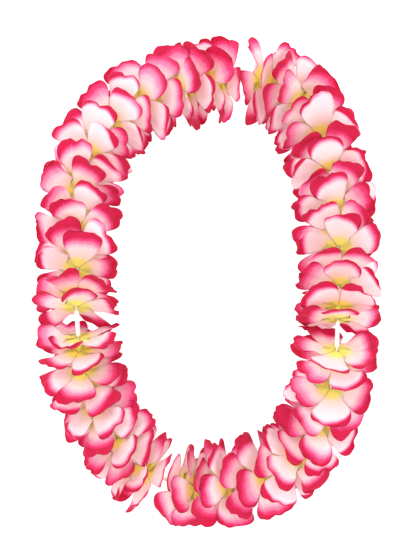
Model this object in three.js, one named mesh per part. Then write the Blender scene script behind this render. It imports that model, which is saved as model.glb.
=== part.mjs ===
// A cloth flower lei laid flat in an oval. Blooms of two dyed petal layers are threaded on a closed, knotted
// string, with a plastic spacer tube between each bloom and the next. The blooms lean along the string, so
// their upper petals lie back over the bloom behind and their lower petals press on the surface.
// Millimetres, +Z up, origin under the middle of the lei's box.
import * as THREE from 'three';

// The string and its route from above: the corners of a closed uniform B-spline, clockwise from the left
const stringRadius = 0.8;
const stringSides = 6;
const routeCorners = [
  [-127, -18], [-126, 48], [-125, 106], [-90, 158], [-35, 180], [28, 191], [84, 171], [107, 112], [116, 51],
  [115, -14], [113, -79], [103, -131], [67, -178], [14, -189], [-46, -196], [-92, -153], [-124, -91],
];
const stepsPerCorner = 100;

// Blooms: a layer is one sheet of five petals, and a bloom has two of them on a short collar
const petalReach = 39;
const petalsPerLayer = 5;
const petalTurn = (2 * Math.PI) / petalsPerLayer;
const petalNumbers = [...Array(petalsPerLayer).keys()];
const clothThickness = 0.6;
const layerDistance = 12;
const holeApothem = 1.6;
const collarApothem = 2.5;

// A petal's outline as shares of its reach: it leaves its neighbours at the cleft, and swells to its middle
const cleftReach = 0.36;
const swell = 0.42;
const swellPower = 0.9;
const outlineRows = [0.41, 0.8];
const cleftAxial = cleftReach * Math.cos(petalTurn / 2);
const cleftLateral = cleftReach * Math.sin(petalTurn / 2);

// How much a petal departs from its bent sheet, in millimetres at its edge or tip
const troughDepth = [-3.2, 4.2];
const twistHeight = [-3.2, 3.2];
const tipCurl = [-4, 7.5];
const shapeStart = 0.3;
const shapeFull = 0.65;
const curlStart = 0.55;
const sideSag = 6;
const drawsFrom = 780;

// How softly a petal bends where it meets the surface
const pressRounding = 2;

// Runs of blooms that face the same way, clockwise from the left. Where two runs meet, the blooms are either
// back to back and stand nearly upright, or face to face, one of them spread open and the other steeper.
// Swing turns every petal of a bloom round its own length, like the blades of a fan, the same way on both
// sides of a meeting. Spread and innerSpread are how far the lower halves of the side petals turn forward, on
// the outer and the inner layer. Cup is how far the outer layer's upper half bends forward over the string. Pull
// is how far a bloom has slid back towards the meeting.
const runs = [
  { blooms: 9, facing: -1 },
  { blooms: 8, facing: 1 },
  { blooms: 7, facing: -1 },
  { blooms: 5, facing: 1 },
];
const uprightEnd = [
  { lean: 26, upperBend: 5, lowerBend: 8, pressed: 8, swing: 14, spread: 15, innerSpread: 0, cup: 0, pull: -6 },
  { lean: 32, upperBend: 13, lowerBend: 13, pressed: 8, swing: 8, spread: 15, innerSpread: 8, cup: 0, pull: -1 },
  { lean: 40, upperBend: 15, lowerBend: 15, pressed: 8, swing: 4, spread: 4, innerSpread: 4, cup: 0, pull: -1 },
  { lean: 43, upperBend: 15, lowerBend: 15, pressed: 8, swing: 0, spread: 0, innerSpread: 0, cup: 0, pull: 0 },
  { lean: 46, upperBend: 15, lowerBend: 15, pressed: 8, swing: 0, spread: 0, innerSpread: 0, cup: 0, pull: 0 },
];
const steepEnd = [
  { lean: 21, upperBend: 19, lowerBend: 24, pressed: 7, swing: 0, spread: 11, innerSpread: 13, cup: 29, pull: 5 },
  { lean: 36, upperBend: 16, lowerBend: 24, pressed: 7, swing: 0, spread: 0, innerSpread: 0, cup: 0, pull: 0 },
];
const openEnd = [
  { lean: 28, upperBend: 14, lowerBend: 27, pressed: 1, swing: 0, spread: 12, innerSpread: 12, cup: 0, pull: 0 },
  { lean: 46, upperBend: 16, lowerBend: 22, pressed: 7, swing: 0, spread: 0, innerSpread: 0, cup: 0, pull: 0 },
];
const leanJitter = 2;
const swingJitter = 3;
const spinJitter = 0.25;
const innerLayerBend = 3;
const spreadStart = 0.2;
const spreadFull = 0.7;

// Spacer tubes, one in each gap but the one that holds the knot
const spacerRadius = 2;
const spacerBore = 1.4;
const spacerSides = 6;
const endClearance = 1.5;

// The knot, which the leaning petals hide: places from -1 at its start to 1 at its end, with the string's
// radius at each
const knotAfterBloom = 4;
const knotLength = 7;
const knotProfile = [
  { place: -1, radius: stringRadius },
  { place: -0.6, radius: 2.5 },
  { place: 0, radius: 2.8 },
  { place: 0.6, radius: 2.5 },
  { place: 1, radius: stringRadius },
];

const clothMaterial = new THREE.MeshStandardMaterial({ color: 0xf06a97, roughness: 0.85 });
const stringMaterial = new THREE.MeshStandardMaterial({ color: 0xf3efe6, roughness: 0.9 });
const spacerMaterial = new THREE.MeshStandardMaterial({ color: 0xf4f4f2, roughness: 0.45 });

const degrees = Math.PI / 180;
const tiny = 1e-6;

// A number from 0 to 1 that is always the same for the same pair
function draw(first, second) {
  const value = Math.sin(first * 12.9898 + second * 78.233) * 43758.5453;
  return value - Math.floor(value);
}

function between([low, high], share) {
  return low + (high - low) * share;
}

function smoothStep(start, end, value) {
  const share = Math.min(1, Math.max(0, (value - start) / (end - start)));
  return share * share * (3 - 2 * share);
}

// The string's route as a list of points with the length of string up to each
function routeSamples() {
  const samples = [];
  const count = routeCorners.length;
  let length = 0;
  for (let step = 0; step <= count * stepsPerCorner; step += 1) {
    const corner = Math.floor(step / stepsPerCorner);
    const t = step / stepsPerCorner - corner;
    const [square, cube] = [t ** 2, t ** 3];
    const weights = [(1 - t) ** 3, 3 * cube - 6 * square + 4, -3 * cube + 3 * square + 3 * t + 1, cube];
    const point = [0, 0];
    weights.forEach((weight, index) => {
      const [x, y] = routeCorners[(corner + index - 1 + count) % count];
      point[0] += (weight * x) / 6;
      point[1] += (weight * y) / 6;
    });
    const before = samples.at(-1);
    if (before) {
      length += Math.hypot(point[0] - before.x, point[1] - before.y);
    }
    samples.push({ x: point[0], y: point[1], length });
  }
  return samples;
}

const route = routeSamples();
const routeLength = route.at(-1).length;

// Where the route is after a length of string, and its direction there
function routeAt(distance) {
  const wanted = ((distance % routeLength) + routeLength) % routeLength;
  let low = 0;
  let high = route.length - 1;
  while (high - low > 1) {
    const middle = Math.floor((low + high) / 2);
    if (route[middle].length <= wanted) {
      low = middle;
    } else {
      high = middle;
    }
  }
  const [a, b] = [route[low], route[high]];
  const span = b.length - a.length;
  const [tx, ty] = [(b.x - a.x) / span, (b.y - a.y) / span];
  const along = wanted - a.length;
  return { x: a.x + tx * along, y: a.y + ty * along, tx, ty };
}

// The place of a point given by its distance along the route, its distance out from it, and its height
function placed(distance, out, height) {
  const at = routeAt(distance);
  return new THREE.Vector3(at.x - at.ty * out, at.y + at.tx * out, height);
}

// A sheet that is bent evenly round the line across its hub, with its lower sides turned forward: how far
// along and how high it is at a distance out from the hub and towards its upper edge, and its slope there
function bentSheet(layer, across, upward) {
  const curvature = (upward > 0 ? layer.upperBend : layer.lowerBend) / petalReach;
  const slope = layer.lean + curvature * upward;
  const turned = layer.spread * smoothStep(spreadStart, spreadFull, Math.abs(across) / petalReach);
  const below = Math.max(0, -upward);
  return {
    along: (Math.cos(slope) - Math.cos(layer.lean)) / curvature + below * Math.sin(turned),
    up: (Math.sin(slope) - Math.sin(layer.lean)) / curvature + below * (1 - Math.cos(turned)),
    slope,
  };
}

// How far a point is pushed up, and forward along the surface, when it would lie below it
function pressedBy(height) {
  const depth = clothThickness / 2 - height;
  if (depth >= pressRounding) {
    return depth;
  }
  return depth > -pressRounding ? (depth + pressRounding) ** 2 / (4 * pressRounding) : 0;
}

// How much room the cloth has at a distance out from the string: 1 on a straight stretch, less inside a bend
function roomAt(layer, out) {
  const [before, after] = [-1, 1].map((step) => placed(layer.distance + step, out, 0));
  return Math.min(1, before.distanceTo(after) / 2);
}

// The middle of the cloth at a point of a petal, given along and across the petal in shares of its reach
function petalPoint(layer, petal, axial, lateral) {
  const turn = layer.spin + petal * petalTurn;
  const shape = layer.petals[petal];
  const side = lateral / swell;
  const strength = smoothStep(shapeStart, shapeFull, axial);
  const swing = -layer.facing * layer.swing * strength;
  const level = lateral * Math.cos(swing);
  const across = petalReach * (axial * Math.sin(turn) + level * Math.cos(turn));
  const upward = petalReach * (axial * Math.cos(turn) - level * Math.sin(turn));
  const tip = Math.max(0, (axial - curlStart) / (1 - curlStart));
  const ownShape = strength * (shape.trough * side * side + shape.twist * side) + shape.curl * tip * tip;
  const lift = (ownShape + petalReach * lateral * Math.sin(swing)) * roomAt(layer, across);
  const sheet = bentSheet(layer, across, upward);
  const sag = sideSag * (across / petalReach) ** 2;
  const height = layer.height + sheet.up + lift * Math.sin(sheet.slope) - sag;
  const pressed = pressedBy(height);
  const along = sheet.along + lift * Math.cos(sheet.slope) + pressed;
  return placed(layer.distance + layer.facing * along, across, height + pressed);
}

// A corner of the five-sided hole or collar on one face of the leaning sheet, between two petals
function hubCorner(layer, petal, apothem, side) {
  const turn = layer.spin + (petal - 0.5) * petalTurn;
  const radius = apothem / Math.cos(petalTurn / 2);
  const up = radius * Math.cos(turn);
  const along = -up * Math.tan(layer.lean) + (side * clothThickness) / 2 / Math.cos(layer.lean);
  return placed(layer.distance + layer.facing * along, radius * Math.sin(turn), layer.height + up);
}

// Half the width of a petal at a share of the way from its cleft to its tip
function halfWidth(share) {
  return Math.sqrt(1 - share * share) * (cleftLateral + swell * share ** swellPower);
}

// Collects the corners and triangles of one solid
class Solid {
  constructor() {
    this.corners = [];
    this.triangles = [];
  }

  corner(point) {
    this.corners.push(point.x, point.y, point.z);
    return this.corners.length / 3 - 1;
  }

  quad(a, b, c, d) {
    this.triangles.push(a, b, c, a, c, d);
  }

  volume() {
    const [a, b, c] = [new THREE.Vector3(), new THREE.Vector3(), new THREE.Vector3()];
    let total = 0;
    for (let index = 0; index < this.triangles.length; index += 3) {
      [a, b, c].forEach((point, place) => point.fromArray(this.corners, 3 * this.triangles[index + place]));
      total += a.dot(b.cross(c)) / 6;
    }
    return total;
  }

  geometry() {
    if (this.volume() < 0) {
      this.triangles.reverse();
    }
    const geometry = new THREE.BufferGeometry();
    geometry.setAttribute('position', new THREE.Float32BufferAttribute(this.corners, 3));
    geometry.setIndex(this.triangles);
    geometry.computeVertexNormals();
    return geometry;
  }
}

// The middle of a layer's cloth: its corners, its triangles, and the line of corners round each petal. The
// first five corners are those round the hub, and the next five are the clefts between petals.
function layerMiddle(layer) {
  const points = petalNumbers.map((petal) => hubCorner(layer, petal, collarApothem, 0));
  points.push(...petalNumbers.map((petal) => petalPoint(layer, petal, cleftAxial, -cleftLateral)));
  const triangles = [];
  const rims = petalNumbers.map((petal) => {
    const first = points.length;
    points.push(petalPoint(layer, petal, cleftAxial, 0));
    outlineRows.forEach((share) => [-1, 0, 1].forEach((side) => points.push(
      petalPoint(layer, petal, cleftAxial + (1 - cleftAxial) * share, side * halfWidth(share)))));
    points.push(petalPoint(layer, petal, 1, 0));
    const [middle, left1, middle1, right1, left2, middle2, right2, tip] = points.slice(first).map(
      (point, index) => first + index);
    const next = (petal + 1) % petalsPerLayer;
    const [left, right] = [petalsPerLayer + petal, petalsPerLayer + next];
    triangles.push(
      [petal, next, middle], [petal, middle, left], [next, right, middle],
      [left, middle, left1], [middle, middle1, left1],
      [middle, right, right1], [middle, right1, middle1],
      [left1, middle1, left2], [middle1, middle2, left2],
      [middle1, right1, right2], [middle1, right2, middle2],
      [left2, middle2, tip], [middle2, right2, tip]);
    return [right, right1, right2, tip, left2, left1, left];
  });
  return { points, triangles, rims };
}

// The direction across the cloth at each corner, from the triangles that meet there. It is upright where the
// cloth lies on the surface.
function clothNormals({ points, triangles }) {
  const normals = points.map(() => new THREE.Vector3());
  triangles.forEach((triangle) => {
    const [a, b, c] = triangle.map((index) => points[index]);
    const across = b.clone().sub(a).cross(c.clone().sub(a));
    triangle.forEach((index) => normals[index].add(across));
  });
  return normals.map((normal, index) => {
    const liesFlat = points[index].z < clothThickness / 2 + tiny;
    return liesFlat ? new THREE.Vector3(0, 0, Math.sign(normal.z)) : normal.normalize();
  });
}

// One layer's two cloth faces and its cut edge. It returns the rings of corners round the hub on both faces,
// which the collar and the hole join.
function addLayer(solid, layer, frontApothem, backApothem) {
  const middle = layerMiddle(layer);
  const normals = clothNormals(middle);
  const faces = [[layer.facing, frontApothem, 1], [-layer.facing, backApothem, -1]].map(
    ([way, apothem, side]) => middle.points.map((point, index) => solid.corner(
      index < petalsPerLayer
        ? hubCorner(layer, index, apothem, side)
        : point.clone().addScaledVector(normals[index], (way * clothThickness) / 2))));
  middle.triangles.forEach((triangle) => {
    solid.triangles.push(...triangle.map((index) => faces[0][index]));
    solid.triangles.push(...triangle.map((index) => faces[1][index]).reverse());
  });
  middle.rims.forEach((rim) => rim.slice(1).forEach((corner, index) => {
    solid.quad(faces[1][rim[index]], faces[1][corner], faces[0][corner], faces[0][rim[index]]);
  }));
  return faces.map((face) => face.slice(0, petalsPerLayer));
}

// A bloom: the outer layer faces along the string, and the inner one stands behind it on the same collar
function bloomSolid(bloom) {
  const solid = new Solid();
  const [frontHole, frontCollar] = addLayer(solid, bloom.outer, holeApothem, collarApothem);
  const [backCollar, backHole] = addLayer(solid, bloom.inner, collarApothem, holeApothem);
  petalNumbers.forEach((petal) => {
    const next = (petal + 1) % petalsPerLayer;
    solid.quad(frontHole[next], frontHole[petal], backHole[petal], backHole[next]);
    solid.quad(frontCollar[next], backCollar[next], backCollar[petal], frontCollar[petal]);
  });
  return solid.geometry();
}

// A layer with its petals' own trough, twist and curl, and the bends it has on top of the bloom's
function makeLayer(bloom, offset, spin, spread, upperBend, lowerBend) {
  const petals = petalNumbers.map((petal) => {
    const seed = drawsFrom + bloom.number * 20 + (offset > 0 ? 0 : 10) + petal;
    return {
      trough: between(troughDepth, draw(seed, 1)),
      twist: between(twistHeight, draw(seed, 2)),
      curl: between(tipCurl, draw(seed, 3)),
    };
  });
  return {
    ...bloom,
    distance: bloom.distance + bloom.facing * offset,
    spin,
    spread,
    petals,
    upperBend: bloom.upperBend + upperBend,
    lowerBend: bloom.lowerBend + lowerBend,
  };
}

// How a bloom leans and bends, from how many blooms of its run are between it and the run's two ends. Of two
// blooms that face each other, the later one is spread open.
function stance(facing, fromUpright, fromMeeting, number) {
  const meetingEnd = facing < 0 ? openEnd : steepEnd;
  const profile = meetingEnd[fromMeeting] ?? uprightEnd[Math.min(fromUpright, uprightEnd.length - 1)];
  const jitter = leanJitter * (2 * draw(number, 4) - 1);
  return {
    lean: (profile.lean + jitter) * degrees,
    upperBend: profile.upperBend * degrees,
    lowerBend: profile.lowerBend * degrees,
    pressed: profile.pressed,
    swing: (profile.swing + swingJitter * (2 * draw(number, 6) - 1)) * degrees,
    spread: profile.spread * degrees,
    innerSpread: profile.innerSpread * degrees,
    cup: profile.cup * degrees,
    pull: profile.pull,
  };
}

// Every bloom's place, lean, bend and turn. It sinks until its lowest petals are pressed on the surface.
function makeBlooms() {
  const total = runs.reduce((sum, run) => sum + run.blooms, 0);
  const made = [];
  runs.forEach((run) => {
    for (let index = 0; index < run.blooms; index += 1) {
      const number = made.length + 1;
      const fromMeeting = run.facing < 0 ? index : run.blooms - 1 - index;
      const fromUpright = run.blooms - 1 - fromMeeting;
      const bloom = { number, facing: run.facing, ...stance(run.facing, fromUpright, fromMeeting, number) };
      bloom.distance = ((number - 1) * routeLength) / total - run.facing * bloom.pull;
      bloom.height = -bentSheet(bloom, 0, -petalReach).up - bloom.pressed;
      const [half, bend] = [layerDistance / 2, innerLayerBend * degrees];
      const spin = petalTurn * spinJitter * (2 * draw(number, 5) - 1);
      bloom.outer = makeLayer(bloom, half, spin, bloom.spread, -bloom.cup, 0);
      bloom.inner = makeLayer(bloom, -half, spin + petalTurn / 2, bloom.innerSpread, bend, bend);
      made.push(bloom);
    }
  });
  return made;
}

// A closed ring of corners round a point, level sideways and upright across the string's direction
function ringCorners(centre, direction, radius, sides) {
  const sideways = new THREE.Vector3(-direction.y, direction.x, 0).normalize();
  const upright = direction.clone().cross(sideways).normalize();
  return Array.from({ length: sides }, (_, index) => {
    const angle = (2 * Math.PI * index) / sides;
    return centre.clone().addScaledVector(sideways, radius * Math.cos(angle)).addScaledVector(
      upright, radius * Math.sin(angle));
  });
}

const blooms = makeBlooms();

// The straight stretch of string from the hub where one bloom ends to the hub where the next starts
function gapEnds(index) {
  const [here, next] = [blooms[index], blooms[(index + 1) % blooms.length]];
  const leaving = here.facing > 0 ? here.outer : here.inner;
  const arriving = next.facing > 0 ? next.inner : next.outer;
  return [leaving, arriving].map((layer) => ({ point: placed(layer.distance, 0, layer.height), layer }));
}

// The string: a closed tube through every hub, swollen into a knot in one gap
function stringSolid() {
  const stations = [];
  blooms.forEach((bloom, index) => {
    const [leaving, arriving] = gapEnds(index);
    stations.push({ point: leaving.point, radius: stringRadius });
    if (blooms[index].number === knotAfterBloom) {
      const way = arriving.point.clone().sub(leaving.point);
      const centre = leaving.point.clone().addScaledVector(way, 0.5);
      way.setLength(knotLength / 2);
      knotProfile.forEach(({ place, radius }) => {
        stations.push({ point: centre.clone().addScaledVector(way, place), radius });
      });
    }
    stations.push({ point: arriving.point, radius: stringRadius });
  });
  const solid = new Solid();
  const rings = stations.map(({ point, radius }, index) => {
    const arriving = point.clone().sub(stations.at(index - 1).point).normalize();
    const leaving = stations[(index + 1) % stations.length].point.clone().sub(point).normalize();
    const direction = arriving.add(leaving).normalize();
    return ringCorners(point, direction, radius, stringSides).map((corner) => solid.corner(corner));
  });
  rings.forEach((ring, index) => {
    const next = rings[(index + 1) % rings.length];
    ring.forEach((corner, side) => {
      const other = (side + 1) % stringSides;
      solid.quad(corner, ring[other], next[other], next[side]);
    });
  });
  return solid.geometry();
}

// A spacer tube on the straight stretch of string between two blooms
function spacerSolid(index) {
  const [start, end] = gapEnds(index);
  const direction = end.point.clone().sub(start.point).normalize();
  const room = ({ layer }) => (
    spacerRadius * Math.tan(layer.lean) + clothThickness / 2 / Math.cos(layer.lean) + endClearance);
  const points = [
    start.point.clone().addScaledVector(direction, room(start)),
    end.point.clone().addScaledVector(direction, -room(end)),
  ];
  const solid = new Solid();
  const [outer, inner] = [spacerRadius, spacerBore].map((radius) => points.map(
    (point) => ringCorners(point, direction, radius, spacerSides).map((corner) => solid.corner(corner))));
  for (let side = 0; side < spacerSides; side += 1) {
    const other = (side + 1) % spacerSides;
    solid.quad(outer[0][side], outer[0][other], outer[1][other], outer[1][side]);
    solid.quad(inner[0][other], inner[0][side], inner[1][side], inner[1][other]);
    solid.quad(outer[0][other], outer[0][side], inner[0][side], inner[0][other]);
    solid.quad(outer[1][side], outer[1][other], inner[1][other], inner[1][side]);
  }
  return solid.geometry();
}

const lei = new THREE.Group();

function addPiece(name, geometry, material) {
  const mesh = new THREE.Mesh(geometry, material);
  mesh.name = name;
  lei.add(mesh);
}

const twoDigits = (number) => String(number).padStart(2, '0');
blooms.forEach((bloom) => addPiece(`bloom_${twoDigits(bloom.number)}`, bloomSolid(bloom), clothMaterial));
const spacers = blooms.filter(({ number }) => number !== knotAfterBloom);
spacers.forEach((bloom, index) => {
  addPiece(`spacer_${twoDigits(index + 1)}`, spacerSolid(bloom.number - 1), spacerMaterial);
});
addPiece('string_loop', stringSolid(), stringMaterial);

const box = new THREE.Box3().setFromObject(lei);
const middle = box.getCenter(new THREE.Vector3());
lei.position.set(-middle.x, -middle.y, -box.min.z);
lei.updateMatrixWorld(true);

export default lei;
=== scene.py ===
"""A cloth flower lei laid flat in an oval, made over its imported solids.

Twenty-nine blooms of two dyed, die-cut petal layers are threaded on a knotted string, with a
spacer tube in every gap but the knot's. Sizes are in millimetres until a mesh is made, which is
in metres. Angles are in radians, apart from those that are said to be in degrees.
"""
import logging
import math
from dataclasses import Field, astuple, dataclass, field, fields
from enum import Enum, IntEnum

import bmesh
import bpy
import numpy as np
from mathutils import Matrix, Vector


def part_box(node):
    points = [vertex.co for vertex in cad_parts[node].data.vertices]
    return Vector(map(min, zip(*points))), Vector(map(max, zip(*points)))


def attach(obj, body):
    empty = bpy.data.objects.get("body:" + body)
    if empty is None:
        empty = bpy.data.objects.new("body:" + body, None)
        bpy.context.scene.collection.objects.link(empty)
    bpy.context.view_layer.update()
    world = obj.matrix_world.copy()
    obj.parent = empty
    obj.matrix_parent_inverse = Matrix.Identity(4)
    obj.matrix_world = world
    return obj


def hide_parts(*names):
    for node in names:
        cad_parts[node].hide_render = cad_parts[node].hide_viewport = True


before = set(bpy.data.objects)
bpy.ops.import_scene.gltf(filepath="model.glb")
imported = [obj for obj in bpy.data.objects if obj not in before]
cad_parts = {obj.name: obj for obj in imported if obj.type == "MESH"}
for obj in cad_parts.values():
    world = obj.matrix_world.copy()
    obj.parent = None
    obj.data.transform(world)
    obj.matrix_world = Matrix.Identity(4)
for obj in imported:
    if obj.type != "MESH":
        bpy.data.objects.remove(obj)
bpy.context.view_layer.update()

logging.basicConfig(level=logging.INFO, format="%(name)s: %(message)s")
log = logging.getLogger("lei")

MM = 0.001
DEGREES = math.pi / 180
TURN = 2 * math.pi
LEAST_LENGTH = 1e-12
DRAW_WEIGHTS = (12.9898, 78.233)
DRAW_SCALE = 43758.5453

Array = np.ndarray
Material = bpy.types.Material
Mesh = bpy.types.Mesh
Socket = bpy.types.NodeSocket
Colour = tuple[float, float, float, float]
Span = tuple[float, float]
Face = tuple[int, ...]
Inputs = dict[str | int, object]


class Slot(Enum):
    """The record's material slots."""

    CLOTH = "petal_cloth"
    TUBE = "spacer_plastic"
    THREAD = "string"


class ClothSide(IntEnum):
    """The two faces of a petal layer: the dyed front, and the back that it soaks through to."""

    FRONT = 1
    BACK = -1


class Facing(IntEnum):
    """Which way along the route a bloom's open side looks."""

    ONWARD = 1
    BACKWARD = -1


def linear(*screen: float) -> Colour:
    """A screen colour's red, green and blue, from 0 to 255, as the colour that shaders use."""
    parts = (part / 255 for part in screen)
    return (*(p / 12.92 if p <= 0.04045 else ((p + 0.055) / 1.055) ** 2.4 for p in parts), 1.0)


def draw(first: float, second: float) -> float:
    """A number from 0 to 1 that is always the same for the same pair."""
    value = math.sin(first * DRAW_WEIGHTS[0] + second * DRAW_WEIGHTS[1]) * DRAW_SCALE
    return value - math.floor(value)


def between(limits: Span, share: float) -> float:
    """The value at a share of the way from the first limit to the second."""
    return limits[0] + (limits[1] - limits[0]) * share


def smooth_step(start: float, end: float, value: Array) -> Array:
    """A soft rise from 0 at start to 1 at end."""
    share = np.clip((value - start) / (end - start), 0, 1)
    return share * share * (3 - 2 * share)


def unit(vectors: Array) -> Array:
    """The rows of an array scaled to length 1."""
    return vectors / np.maximum(np.linalg.norm(vectors, axis=-1, keepdims=True), LEAST_LENGTH)


def in_scene(made: bpy.types.Object) -> bpy.types.Object:
    """The object, once it is linked to the scene."""
    bpy.context.scene.collection.objects.link(made)
    return made


def sealed(mesh: Mesh, *others: Mesh) -> Mesh:
    """Adds other meshes to one, points its faces outwards and shades it smooth.

    Args:
        mesh: The mesh that is kept.
        others: The meshes that are copied into it.

    Returns:
        The mesh.
    """
    shell = bmesh.new()
    for part in (mesh, *others):
        shell.from_mesh(part)
    bmesh.ops.recalc_face_normals(shell, faces=shell.faces)
    shell.to_mesh(mesh)
    shell.free()
    mesh.shade_smooth()
    return mesh


def piece_from(name: str, mesh: Mesh, slot: Slot, *nodes: str) -> None:
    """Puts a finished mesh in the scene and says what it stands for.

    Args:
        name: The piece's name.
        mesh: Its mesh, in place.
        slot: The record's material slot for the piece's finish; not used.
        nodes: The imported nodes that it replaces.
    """
    piece = in_scene(bpy.data.objects.new(name, mesh))
    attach(piece, "root")
    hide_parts(*nodes)
    log.info("%s: %d faces, in place of %s", name, len(mesh.polygons), ", ".join(nodes))


class NodeTree:
    """A node tree, with short ways to add and join its nodes."""

    PREFIX = "ShaderNode"

    def __init__(self, tree: bpy.types.NodeTree) -> None:
        """Takes the tree that its nodes go into."""
        self.tree = tree

    def node(self, kind: str, inputs: Inputs | None = None, **settings: object) -> bpy.types.Node:
        """Adds a node.

        Args:
            kind: The node's Blender type, with or without the prefix of the tree's own nodes.
            inputs: Values or sockets for its inputs, by name or number.
            settings: Properties of the node itself.

        Returns:
            The node.
        """
        made = self.tree.nodes.new(kind if "Node" in kind else self.PREFIX + kind)
        for key, value in settings.items():
            setattr(made, key, value)
        for key, value in (inputs or {}).items():
            if isinstance(value, Socket):
                self.tree.links.new(value, made.inputs[key])
            else:
                made.inputs[key].default_value = value
        return made

    def out(self, kind: str, inputs: Inputs | None = None, **settings: object) -> Socket:
        """Adds a node and gives its first output."""
        return self.node(kind, inputs, **settings).outputs[0]

    def math(self, kind: str, first: object, second: object = 0.0, clamp: bool = False) -> Socket:
        """The result of a Math node of some kind on two values or sockets."""
        inputs = {0: first, 1: second}
        return self.out("ShaderNodeMath", inputs, operation=kind, use_clamp=clamp)

    def add(self, first: object, second: object) -> Socket:
        """The sum of two values or sockets."""
        return self.math("ADD", first, second)

    def times(self, first: object, second: object) -> Socket:
        """The product of two values or sockets."""
        return self.math("MULTIPLY", first, second)

    def less(self, first: object, second: object) -> Socket:
        """The first value or socket less the second."""
        return self.math("SUBTRACT", first, second)


class ShaderTree(NodeTree):
    """A material's node tree, with the object's own coordinates in it."""

    def __init__(self, name: str) -> None:
        """Starts a material.

        Args:
            name: The material's name.
        """
        self.material = bpy.data.materials.new(name)
        self.material.use_nodes = True
        super().__init__(self.material.node_tree)
        self.tree.nodes.clear()
        self.place = self.node("TexCoord").outputs["Object"]

    def attribute(self, name: str) -> Socket:
        """The value of one of the mesh's own attributes."""
        return self.node("Attribute", attribute_name=name).outputs["Fac"]

    def noise(self, scale: float, detail: float = 2.0, place: Socket | None = None) -> Socket:
        """A Noise texture's value, centred on 0, in the object's coordinates or in others."""
        inputs = {"Vector": place or self.place, "Scale": scale, "Detail": detail}
        return self.less(self.out("TexNoise", inputs), 0.5)

    def ramp(self, value: Socket, *stops: tuple[float, Colour]) -> Socket:
        """Adds a Color Ramp.

        Args:
            value: The socket that drives it.
            stops: Places from 0 to 1 with their colours.

        Returns:
            The colour socket.
        """
        made = self.node("ValToRGB", {0: value})
        made.color_ramp.interpolation = "EASE"
        points = made.color_ramp.elements
        while len(points) < len(stops):
            points.new(1.0)
        for point, (place, colour) in zip(points, stops):
            point.position = place
            point.color = colour
        return made.outputs[0]

    def mapped(self, value: Socket, limits: Span, results: Span,
               kind: str = "SMOOTHSTEP") -> Socket:
        """What a Map Range node makes of a value between two limits."""
        names = ("Value", "From Min", "From Max", "To Min", "To Max")
        return self.out("MapRange", dict(zip(names, (value, *limits, *results))),
                        interpolation_type=kind)

    def mix(self, share: object, first: object, second: object, blend: str = "MIX") -> Socket:
        """The colour between two, at a share from the first to the second."""
        inputs = {0: share, 6: first, 7: second}
        return self.node("Mix", inputs, data_type="RGBA", blend_type=blend).outputs[2]

    def bump(self, height: Socket, strength: float, depth: float = 0.0001) -> Socket:
        """The normal of a relief that is a depth in metres deep."""
        return self.out("Bump", {"Strength": strength, "Distance": depth, "Height": height})

    def finished(self, shader: Socket) -> Material:
        """The material, once the shader is joined to its output."""
        self.node("OutputMaterial", {"Surface": shader})
        return self.material

    def covered(self, inputs: Inputs) -> Material:
        """The material, once it is finished with a Principled shader."""
        return self.finished(self.out("BsdfPrincipled", inputs))


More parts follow.
